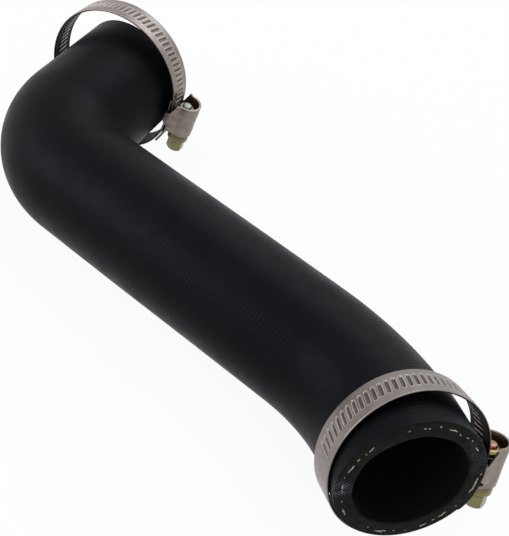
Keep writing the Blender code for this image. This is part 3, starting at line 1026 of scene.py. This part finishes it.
@dataclass
class Clamp:
    """One loose worm-drive clamp: band, housing and screw.

    Ring frames have X out through the housing, Y along the screw to its head and Z along the band's width.

    Attributes:
        from_mouth: Distance of its middle plane from the hose's mouth.
        hang: How far its middle lies beside the hose's axis, to hang_side.
        lean: How far it leans, towards lean_side.
        housing_side: Direction of the housing about the hose.
        lead: Length of band that sticks out in front of the straight.
        tail: Length of band that laps over the first turn.
        plain: Length of band without slots.
        slot_steps: Rows of points for each slot.
        rib: Depth of a slot's rib inside the band.
        layer: How far the band winds outwards in one turn.
        corner_length, corner_height, corner_fall: Slanted cut of the legs' lower corners at the lip, its
            height there and its fall for each metre along.
        nose_length, nose_rise, nose_narrowing: The narrowing end of the housing.
        arch_overrun: How far the arch wraps past half a circle on each side.
        thread_foot, thread_flank: Half the ridge's width at its foot and the width of a flank, in pitches.
        thread_run_out: Length in which the thread fades at each end.
        pilot_radius, pilot_recess, pilot_length: The screw's rounded tip, and how far it stands back.
        chamfer, chamfer_slope: Radius of the head's end and its growth for each metre down.
    """

    side: Side
    route: BandRoute
    from_mouth: float
    hang: float
    hang_side: float
    lean: float
    lean_side: float
    housing_side: float
    plating: Plating

    width: float = 12.0 * MM
    thickness: float = 0.8 * MM
    strip_edge: float = 0.3 * MM
    strip_columns: int = 45
    lead: float = 2.8 * MM
    tail: float = 21.0 * MM
    plain: float = 92.5 * MM
    pitch: float = 2.25 * MM
    slot_width: float = 1.1 * MM
    slot_length: float = 5.8 * MM
    slot_depth: float = 0.45 * MM
    slot_steps: int = 14
    rim_height: float = 0.1 * MM
    rib: float = 0.25 * MM
    slant: float = math.radians(9.0)
    layer: float = 1.3 * MM
    tail_rounding: float = 2.0 * MM
    notch_length: float = 4.0 * MM
    notch_depth: float = 1.4 * MM

    sheet: float = 0.9 * MM
    housing_length: float = 16.2 * MM
    housing_lead: float = 3.9 * MM
    housing_half: float = 6.3 * MM
    leg_height: float = 2.5 * MM
    corner_length: float = 6.0 * MM
    corner_height: float = 4.4 * MM
    corner_fall: float = 0.42
    nose_length: float = 5.3 * MM
    nose_rise: float = 2.1 * MM
    nose_narrowing: float = 0.15 * MM
    lip_flare: float = 0.4 * MM
    arch_overrun: float = math.radians(10.0)
    leg_rows: int = 7
    arch_rows: int = 41
    softened: float = 0.16 * MM

    thread_radius: float = 4.3 * MM
    thread_depth: float = 1.1 * MM
    thread_rows: int = 110
    thread_foot: float = 0.36
    thread_flank: float = 0.22
    thread_run_out: float = 0.8 * MM
    screw_height: float = 6.7 * MM
    running_gap: float = 0.35 * MM
    neck_radius: float = 3.0 * MM
    pilot_radius: float = 2.1 * MM
    pilot_recess: float = 1.3 * MM
    pilot_length: float = 1.5 * MM
    pilot_dome: float = 0.9 * MM
    collar_radius: float = 4.8 * MM
    collar_length: float = 3.9 * MM
    collar_fillet: float = 0.35 * MM
    groove_radius: float = 3.7 * MM
    groove_length: float = 1.4 * MM
    across_flats: float = 7.0 * MM
    across_corners: float = 7.9 * MM
    hex_height: float = 4.7 * MM
    chamfer: float = 3.3 * MM
    chamfer_slope: float = 1.15
    screw_sides: int = 72

    def frame(self, hose: HoseRoute) -> np.ndarray:
        """The clamp's frame: hung to one side of the hose's axis, leaning, housing turned to its side."""
        if self.side is Side.NEAR:
            mouth = hose.frames(np.array([0.0]))[0] @ shifted(0, 0, self.from_mouth)
        else:
            end = hose.frames(np.array([hose.length()]))[0]
            mouth = end @ shifted(0, 0, -self.from_mouth) @ turned(hose.twist, "Z")
        centre = shifted(self.hang * math.cos(self.hang_side), self.hang * math.sin(self.hang_side), 0)
        lean = turned(self.lean_side, "Z") @ turned(self.lean, "Y") @ turned(-self.lean_side, "Z")
        return HOSE_FRAME @ mouth @ centre @ lean @ turned(self.housing_side, "Z")

    def build(self, hose: HoseRoute, steel: bpy.types.Material, sheet: bpy.types.Material) -> None:
        """Builds the clamp's three pieces.

        Args:
            hose: The route that it hangs on.
            steel: The band's material.
            sheet: The housing's material.
        """
        place = self.frame(hose)
        self.build_band(place, steel)
        self.build_housing(place, sheet)
        self.build_screw(place)

    def band_stations(self) -> np.ndarray:
        """Distances along the band, close together in the slot row, the notches and the ends."""
        end = self.route.length() + self.tail
        middle = self.route.straight / 2
        reach = self.notch_length / 2 + 0.3 * MM
        notch = np.linspace(middle - reach, middle + reach, 28)
        first_slot = self.plain - self.lead - self.pitch
        slots = np.arange(first_slot, end - self.tail_rounding, self.pitch / self.slot_steps)
        plain = np.arange(notch[-1] + 0.8 * MM, slots[0] - 0.4 * MM, 0.9 * MM)
        lead = np.linspace(-self.lead, notch[0], 10)[:-1]
        tail = end - self.tail_rounding * (1 - np.sin(quarter(9)))
        return np.concatenate([lead, notch, plain, slots, tail])

    def pressed(self, distance: np.ndarray, across: np.ndarray) -> tuple[np.ndarray, np.ndarray]:
        """Where the slots are: a bar with round ends repeated at the pitch.

        Args:
            distance: Distances along the band.
            across: Distances across it from its middle.

        Returns:
            1 in the floor of a slot and 0 outside it, and 1 on the crest of the rim raised round it.
        """
        first = self.plain - self.lead
        row_end = self.route.length() + self.tail - self.tail_rounding - self.pitch
        last = math.floor((row_end - first) / self.pitch) - 1
        number = np.clip(np.round((distance - first) / self.pitch), 0, last)
        rounding = self.slot_width / 2
        past_middle = np.maximum(np.abs(across) - (self.slot_length / 2 - rounding), 0)
        outside = np.hypot(distance - first - number * self.pitch, past_middle) - rounding
        crest = 0.14 * MM
        floor = 1 - eased(-0.3 * MM, 0.04 * MM, outside)
        rim = eased(-0.08 * MM, crest, outside) * (1 - eased(crest, 3 * crest, outside))
        return floor, rim

    def strip(self) -> tuple[np.ndarray, np.ndarray, np.ndarray]:
        """The band's section once round: outer side, rounded edge, inner side and other edge.

        Returns:
            Share of the half width, rounding of the edge and share of the thickness at each point.
        """
        count = self.strip_columns
        bend = np.linspace(math.pi / 2, -math.pi / 2, 7)[1:-1]
        unit = np.linspace(-1, 1, count)
        side = np.ones(len(bend))
        bulge = self.strip_edge * np.cos(bend)
        flat = np.concatenate([unit, side, unit[::-1], -side])
        rounding = np.concatenate([np.zeros(count), bulge, np.zeros(count), -bulge])
        half = 0.5 * np.sin(bend)
        height = np.concatenate([np.ones(count), 0.5 + half, np.zeros(count), 0.5 - half])
        return flat, rounding, height

    def build_band(self, place: np.ndarray, finish: bpy.types.Material) -> None:
        """Builds the band: its rounded strip section carried along the route, winding outwards by one layer.

        A point at distance s and height h stands at the route's point for s, moved out by the layer pitch
        times (s + lead) / length, plus h times the thickness, minus the slot's depth outside or plus the rib
        inside. In the slot row s is moved by the slant.

        Args:
            place: The clamp's frame.
            finish: The band's material.
        """
        flat, rounding, height = self.strip()
        stations = self.band_stations()[:, None]
        end = self.route.length() + self.tail
        bite = self.notch_length / 2
        bitten = 1 - eased(bite - 0.1 * MM, bite + 0.1 * MM, np.abs(stations - self.route.straight / 2))
        to_end = np.clip(end - stations, 0, self.tail_rounding)
        rounded = self.tail_rounding - np.sqrt(self.tail_rounding**2 - (self.tail_rounding - to_end) ** 2)
        half = self.width / 2 - self.strip_edge - self.notch_depth * bitten - rounded
        across = half * flat + rounding
        first = self.plain - self.lead
        last = end - self.tail_rounding
        row = eased(first - 3 * self.pitch, first - self.pitch, stations)
        row = row * (1 - eased(last - 1.5 * self.pitch, last, stations))
        in_slot = np.clip(across, -self.slot_length / 2, self.slot_length / 2)
        slanted = stations + row * math.tan(self.slant) * in_slot
        press, rim = self.pressed(stations + 0 * across, across)
        outer = height > 0.5
        lift = self.layer * (slanted + self.lead) / self.route.length() + self.thickness * height
        lift = lift + np.where(outer, rim * self.rim_height - press * self.slot_depth, -press * self.rib)
        local = np.concatenate([self.route.at(slanted, lift), across[..., None]], -1)
        steps = np.hypot(np.diff(self.width / 2 * flat + rounding), self.thickness * np.diff(height))
        girth = np.concatenate([[0], np.cumsum(steps)])
        skin = Skin(
            points=carried(place, local),
            along=stations[:, 0],
            around=np.append(girth, girth[-1] + 0.2 * MM),
            poles=True,
            # Painted shade in the slot floors and over the inner face but its ribs; painted highlights on the
            # rims and the inner ribs.
            marks={
                "painted_shade_and_worn_tip": np.where(outer, 0.5 * press**1.5, 0.97 - 0.97 * press),
                "painted_highlight": np.where(outer, 0.55 * rim, 0.5 * press**2),
            },
        )
        piece = skin.piece(f"{self.side.value}_band", [finish])
        settle(piece, "hose", f"{self.side.value}_clamp_band")

    def housing_stations(self, nose_start: float, end: float) -> np.ndarray:
        """Distances along the housing, close together at the cut corners, the hooks and the nose.

        Args:
            nose_start: Where it begins to narrow.
            end: Where its nose wall stands.

        Returns:
            Rising distances from the straight's start.
        """
        lip = -self.housing_lead
        step = 0.5 * MM
        slant = lip + np.linspace(0, self.corner_length - step, 8)
        corner = np.append(slant, lip + self.corner_length - step * (1 - np.sin(quarter(6))[1:]))
        middle = np.linspace(corner[-1], nose_start, 24)
        hooks = self.route.straight / 2 + self.hook_half() * np.array([-1.0, -0.96, 0.96, 1.0])
        nose = np.linspace(nose_start, end - self.sheet, 14)
        return np.unique(np.concatenate([corner, middle, hooks, nose]))

    def hook_half(self) -> float:
        """Half the length of a hook, which stands in the band's notch."""
        return self.notch_length / 2 - 0.3 * MM

    def section(self, radius: np.ndarray, half: np.ndarray, bottom: np.ndarray) -> np.ndarray:
        """One side of the sheet at each station, as (across, height) points from one leg to the other.

        Args:
            radius: Arch radius at each station.
            half: Half width between the legs.
            bottom: Height of the legs' feet.

        Returns:
            Points of shape (stations, points, 2).
        """
        arch = np.linspace(-self.arch_overrun, math.pi + self.arch_overrun, self.arch_rows)[None, :]
        leg = np.linspace(0, 1, self.leg_rows)[None, :]
        shoulder = np.maximum(bottom + 0.4 * MM, self.leg_height)
        right = np.stack([half + 0 * leg, bottom + (shoulder - bottom) * leg], -1)
        top = np.stack([radius * np.cos(arch), self.screw_height + radius * np.sin(arch)], -1)
        left = right[:, ::-1] * (-1, 1)
        path = np.concatenate([right, top, left], axis=1)
        for _ in range(3):
            path[:, 4:-4] = (path[:, 3:-5] + 2 * path[:, 4:-4] + path[:, 5:-3]) / 4
        return path

    def build_housing(self, place: np.ndarray, finish: bpy.types.Material) -> None:
        """Builds the housing: the sheet's U section carried along the screw.

        The section runs up one leg, over the shoulder, round an arch about the screw and down the other leg.
        Its corners are softened by averaging neighbouring points, and the inner side lies one sheet thickness
        inside the outer one. At the lip each leg's lower corner is cut away along a slanted line, to let the
        band out. At the nose a wall closes the section but for a round hole, which the screw's neck runs in.

        Args:
            place: The clamp's frame.
            finish: The sheet's material.
        """
        end = self.housing_length - self.housing_lead
        nose_start = end - self.nose_length
        lip = -self.housing_lead
        stations = self.housing_stations(nose_start, end)
        column = stations[:, None]
        throat = self.thread_radius + self.running_gap
        nose = throat - self.nose_narrowing
        narrowing = eased(nose_start + self.nose_rise, end - self.sheet, column)
        radius = throat + self.lip_flare * (1 - eased(lip, nose_start, column)) + (nose - throat) * narrowing
        half = self.housing_half + (nose - self.housing_half) * narrowing
        from_lip = column - lip
        cut_away = 1 - eased(self.corner_length - 0.5 * MM, self.corner_length, from_lip)
        raised = self.layer + self.thickness + 0.3 * MM
        bottom = (self.corner_height - self.corner_fall * from_lip) * cut_away
        bottom = bottom + raised * eased(nose_start, nose_start + self.nose_rise, column)
        outer = self.section(radius + self.sheet, half + self.sheet, bottom)
        inner = self.section(radius, half, bottom)
        self.bend_hooks(inner, column, bottom)
        ring = np.concatenate([outer, inner[:, ::-1]], axis=1)
        start = self.route.start()
        local = np.stack([ring[..., 1] + start[0], column + 0 * ring[..., 0] + start[1], ring[..., 0]], -1)
        wall = self.nose_wall(local[-1], start[0] + self.screw_height)
        local = np.concatenate([local, wall[None], wall[None] + (0, self.sheet, 0)])
        count = ring.shape[1]
        # Painted shade over the sheet's inner side, from the third row on.
        inside = np.zeros((len(local), count))
        inside[2:, count // 2 :] = 1.0
        skin = Skin(
            points=carried(place, local),
            along=np.append(stations, [end, end + self.sheet]),
            around=np.linspace(0, 60 * MM, count + 1),
            sheet=True,
            marks={"painted_shade_and_worn_tip": inside},
        )
        piece = skin.piece(f"{self.side.value}_housing", [finish])
        bevel = piece.modifiers.new("softened edges", "BEVEL")
        bevel.width = self.softened
        bevel.segments = 3
        bevel.limit_method = "ANGLE"
        bevel.angle_limit = math.radians(50)
        settle(piece, "hose", f"{self.side.value}_clamp_housing")

    def bend_hooks(self, inner: np.ndarray, column: np.ndarray, bottom: np.ndarray) -> None:
        """Moves the feet of the legs inwards beside the notches, by the notches' depth.

        Args:
            inner: Inner side of the sheet, which is changed.
            column: Station of each row.
            bottom: Height of the legs' feet.
        """
        hooked = np.abs(column - self.route.straight / 2) <= self.hook_half()
        low = eased(0.0, 0.25 * MM, self.thickness + bottom - inner[..., 1])
        leg = np.zeros(inner.shape[1])
        leg[: self.leg_rows - 1] = 1.0
        leg[1 - self.leg_rows :] = 1.0
        inner[..., 0] -= np.sign(inner[..., 0]) * hooked * self.notch_depth * leg * low

    def nose_wall(self, row: np.ndarray, height: float) -> np.ndarray:
        """The section's last row with its inner half drawn in to the round hole about the screw.

        Args:
            row: Last row of points.
            height: Height of the screw's axis.

        Returns:
            The wall's row.
        """
        wall = row.copy()
        half = len(row) // 2
        spin = np.arctan2(wall[half:, 0] - height, wall[half:, 2])
        hole = self.neck_radius + self.running_gap
        wall[half:, 0] = height + hole * np.sin(spin)
        wall[half:, 2] = hole * np.cos(spin)
        return wall

    def thread(self, angle: np.ndarray, station: float, start: float, end: float) -> np.ndarray:
        """Radius of the worm: a right-handed helix with slanted flanks that runs out at both ends.

        Args:
            angle: Angles round the screw.
            station: Distance from its tip.
            start: Where the thread starts.
            end: Where it ends.

        Returns:
            The crest's radius minus the depth where the helix is low.
        """
        phase = np.mod(station / self.pitch - angle / TAU, 1.0)
        crest = eased(0.0, 1.0, (self.thread_foot - np.abs(phase - 0.5)) / self.thread_flank)
        fade = np.clip(min(station - start, end - station) / self.thread_run_out, 0, 1)
        return self.thread_radius - self.thread_depth * (1 - crest * fade)

    def screw_marks(self, stations: np.ndarray, thread_end: float, collar: float) -> dict[str, np.ndarray]:
        """What the plating reads at each row of the screw.

        Args:
            stations: Distances from its tip.
            thread_end: Where the thread ends.
            collar: Where the collar starts.

        Returns:
            The worn tip, the hexagon, and painted shade at both ends of the collar, a bell curve at each.
        """
        collar_end = collar + self.collar_length
        # Painted shade in the groove below the head and where the collar meets the housing's wall.
        by_head = 0.8 * np.exp(-(((stations - collar_end - 0.35 * MM) / (0.55 * MM)) ** 2))
        by_wall = 0.75 * np.exp(-(((stations - collar) / (0.8 * MM)) ** 2))
        return {
            "painted_shade_and_worn_tip": 1.0 * (stations < self.pilot_length),
            "hexagon": 0.6 * (stations > collar_end),
            "painted_corner_shade": np.maximum(by_head, by_wall) * (stations > thread_end),
        }

    def build_screw(self, place: np.ndarray) -> None:
        """Builds the worm screw as rings about its own axis, with a slot cut across its head.

        Args:
            place: The clamp's frame.
        """
        angles = once_round(self.screw_sides)[None, :]
        rise = 1 - np.cos(quarter(6))
        fall = 1 - np.sin(quarter(6))
        wall = self.housing_length - self.pilot_recess - self.sheet
        pilot_end = self.pilot_length
        thread_end = wall - 1.2 * MM
        collar = wall + self.sheet + 0.3 * MM
        collar_end = collar + self.collar_length
        head = collar_end + self.groove_length
        top = head + self.hex_height
        flat = self.across_flats / 2 / np.cos(np.mod(angles + math.pi / 6, math.pi / 3) - math.pi / 6)
        rows = list(zip(self.pilot_dome * rise, self.pilot_radius - self.pilot_dome * fall))
        rows.append((pilot_end - 0.1 * MM, self.pilot_radius))
        for station in np.linspace(pilot_end, thread_end, self.thread_rows):
            rows.append((station, self.thread(angles, station, pilot_end, thread_end)))
        rows += [(thread_end + 0.15 * MM, self.neck_radius), (collar - 0.02 * MM, self.neck_radius)]
        rows += zip(collar + self.collar_fillet * rise, self.collar_radius - self.collar_fillet * fall)
        rows += zip(collar_end - self.collar_fillet * fall, self.collar_radius - self.collar_fillet * rise)
        rows.append((collar_end + 0.35 * MM, self.groove_radius + 0.3 * MM))
        rows.append((collar_end + 0.6 * MM, np.minimum(flat, self.groove_radius + 0.05 * MM)))
        rows.append((head, np.minimum(flat, self.across_corners / 2)))
        last = 0.08 * MM
        for drop in np.array([1.6, 1.2, 0.9, 0.6, 0.4, 0.2, 0.08, 0.0]) * MM:
            cone = self.chamfer + self.chamfer_slope * drop
            rows.append((top - drop, np.minimum(flat, cone) - (last - min(drop, last))))
        stations = np.array([row[0] for row in rows])
        radii = np.concatenate([row[1] + 0 * angles for row in rows])
        local = np.stack([radii * np.cos(angles), radii * np.sin(angles), stations[:, None] + 0 * radii], -1)
        start = self.route.start()
        tip = shifted(start[0] + self.screw_height, start[1] + self.pilot_recess - self.housing_lead, 0)
        axis = place @ tip @ turned(-math.pi / 2, "X")
        marks = self.screw_marks(stations, thread_end, collar)
        skin = Skin(
            points=carried(axis, local),
            along=stations,
            around=np.linspace(0, TAU * self.thread_radius, self.screw_sides + 1),
            poles=True,
            marks={name: value[:, None] + 0 * radii for name, value in marks.items()},
        )
        piece = skin.piece(f"{self.side.value}_screw", [self.plating.make()])
        cut_slot(piece, axis, top)
        settle(piece, f"{self.side.value}_screw", f"{self.side.value}_clamp_screw")


def cut_slot(screw: bpy.types.Object, axis: np.ndarray, top: float) -> None:
    """Cuts the screwdriver slot into the head's end, and keeps the result as the piece's mesh.

    Args:
        screw: The screw.
        axis: Its frame.
        top: Where its head ends.
    """
    depth = 1.6 * MM
    above = 2.0 * MM
    half_size = (7.0 * MM, 0.6 * MM)
    square = np.array([(-1, -1), (1, -1), (1, 1), (-1, 1)]) * half_size
    rings = np.stack([np.column_stack([square, np.full(4, top + rise)]) for rise in (-depth, above)])
    block = Skin(carried(axis, rings), np.array([0.0, 1.0]), np.arange(5.0), poles=True)
    cutter = block.piece("slot_cutter", [])
    cut = screw.modifiers.new("drive slot", "BOOLEAN")
    cut.operation = "DIFFERENCE"
    cut.solver = "EXACT"
    cut.object = cutter
    bpy.context.view_layer.update()
    whole = bpy.data.meshes.new_from_object(screw.evaluated_get(bpy.context.evaluated_depsgraph_get()))
    screw.modifiers.clear()
    screw.data = whole
    bpy.data.objects.remove(cutter)
    whole.set_sharp_from_angle(angle=SHARP_ANGLE)


# The studio


@dataclass
class Softbox:
    """A square area lamp that faces a point."""

    name: str
    place: tuple[float, float, float]
    size: float
    watts: float

    def build(self, target: tuple[float, float, float]) -> None:
        """Adds the lamp, facing target."""
        lamp = bpy.data.lights.new(self.name, "AREA")
        lamp.shape = "SQUARE"
        lamp.size = self.size
        lamp.energy = self.watts
        made = placed(self.name, lamp)
        made.location = self.place
        back = Matrix.Translation(self.place).translation - Matrix.Translation(target).translation
        made.rotation_euler = back.to_track_quat("Z", "Y").to_euler()


@dataclass
class Studio:
    """Pale floor, white surroundings, soft lamps and the camera.

    Attributes:
        focal_px, long_side_px: Focal length and long side of the photograph in its pixels.
        mouth_mm: Where the camera sees the near mouth's middle, x to the right, y down and z forwards.
        mouth_axis: Direction into the near mouth, seen the same way.
        middle_axis: Direction towards the near bend's centre, before it is made square to mouth_axis.
        floor_white: Share of plain white in the floor where it is seen.
        ambient: Strength of the surroundings where they only light.
    """

    focal_px: float = 720.2
    long_side_px: float = 536.0
    sensor_mm: float = 36.0
    mouth_mm: tuple[float, float, float] = (48.5, 66.25, 222.5)
    mouth_axis: tuple[float, float, float] = (-0.196, -0.528, 0.827)
    middle_axis: tuple[float, float, float] = (-0.784, -0.566, 0.256)
    floor_size: float = 8.0
    floor_colour: Colour = (0.86, 0.86, 0.86)
    floor_white: float = 0.93
    ambient: float = 0.6
    target: tuple[float, float, float] = (0.0, 0.0, 30 * MM)
    lamps: tuple[Softbox, ...] = (
        Softbox("key_softbox", (0.25, 0.75, 0.95), 0.9, 5.0),
        Softbox("fill_softbox", (-0.85, -0.35, 0.55), 0.7, 4.4),
        Softbox("front_softbox", (0.55, -0.8, 0.7), 0.6, 1.6),
    )

    def camera_frame(self) -> np.ndarray:
        """The camera's frame, from where it sees the near mouth and which way the hose's first two axes run.

        Returns:
            The frame with x to the right, y down and z forwards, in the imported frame.
        """
        z = np.array(self.mouth_axis)
        z = z / np.linalg.norm(z)
        x = np.array(self.middle_axis) - z * (np.array(self.middle_axis) @ z)
        x = x / np.linalg.norm(x)
        seen = np.eye(4)
        seen[:3, :3] = np.stack([x, np.cross(z, x), z], -1)
        seen[:3, 3] = np.array(self.mouth_mm) * MM
        return HOSE_FRAME @ np.linalg.inv(seen)

    def build(self) -> None:
        """Adds everything that isn't the object."""
        self.build_camera()
        self.build_floor()
        self.build_world()
        for lamp in self.lamps:
            lamp.build(self.target)
        bpy.context.scene.view_settings.view_transform = "Standard"
        log.info("studio: camera, floor, world and lamps")

    def build_camera(self) -> None:
        """Adds the camera, whose axes are right, up and backwards."""
        data = bpy.data.cameras.new("photograph_camera")
        data.sensor_width = self.sensor_mm
        data.lens = self.focal_px / self.long_side_px * self.sensor_mm
        data.clip_start = 0.01
        data.clip_end = 50.0
        made = placed("photograph_camera", data)
        made.matrix_world = Matrix(self.camera_frame() @ np.diag([1.0, -1.0, -1.0, 1.0]))
        bpy.context.scene.camera = made

    def build_floor(self) -> None:
        """Adds the pale floor: mostly plain white where it is seen, with the object's shadow kept."""
        half = self.floor_size / 2
        corners = [(-half, -half, 0), (half, -half, 0), (half, half, 0), (-half, half, 0)]
        mesh = bpy.data.meshes.new("pale_floor")
        mesh.from_pydata(corners, [], [(0, 1, 2, 3)])
        finish = bpy.data.materials.new("pale_floor")
        finish.use_nodes = True
        graph = Graph(finish.node_tree)
        graph.tree.nodes.clear()
        matt = graph.node("ShaderNodeBsdfDiffuse", {"Color": self.floor_colour}).outputs[0]
        glow = graph.node("ShaderNodeEmission").outputs[0]
        white = graph.join(graph.shown(), self.floor_white, "MULTIPLY")
        mixed = graph.node("ShaderNodeMixShader", {0: white, 1: matt, 2: glow}).outputs[0]
        graph.node("ShaderNodeOutputMaterial", {"Surface": mixed})
        mesh.materials.append(finish)
        placed("pale_floor", mesh)

    def build_world(self) -> None:
        """White surroundings where they are seen, and a plain ambient light elsewhere."""
        world = bpy.data.worlds.new("studio")
        bpy.context.scene.world = world
        world.use_nodes = True
        graph = Graph(world.node_tree)
        level = graph.span(graph.shown(), (0.0, 1.0), (self.ambient, 1.0))
        graph.plug(graph.tree.nodes["Background"], {"Color": (1.0, 1.0, 1.0), "Strength": level})


NEAR_CLAMP = Clamp(
    side=Side.NEAR,
    route=BandRoute((-10.7, 3.6, 5.0, -0.9, 3.0, 2.2, -0.1, 2.7, 0.6)),
    from_mouth=11.7 * MM,
    hang=1.463 * MM,
    hang_side=math.radians(169.6),
    lean=math.radians(8.5),
    lean_side=math.radians(-90.7),
    housing_side=math.radians(163.5),
    plating=NEAR_PLATING,
)
FAR_CLAMP = Clamp(
    side=Side.FAR,
    route=BandRoute((1.3, 1.3, 4.6, 7.6, 7.4, 4.6, 3.9, 3.7, 2.9)),
    from_mouth=8.4 * MM,
    hang=3.122 * MM,
    hang_side=math.radians(-165.8),
    lean=math.radians(12.2),
    lean_side=math.radians(120.5),
    housing_side=math.radians(7.1),
    plating=FAR_PLATING,
)


def main() -> None:
    """Builds the studio, the hose and both clamps, and reports each piece."""
    logging.basicConfig(level=logging.INFO, format="%(name)s %(message)s")
    Studio().build()
    hose = Hose()
    hose.build()
    band = BAND_STEEL.make()
    sheet = HOUSING_STEEL.make()
    for clamp in (NEAR_CLAMP, FAR_CLAMP):
        clamp.build(hose.route, band, sheet)


if __name__ == "__main__":
    main()
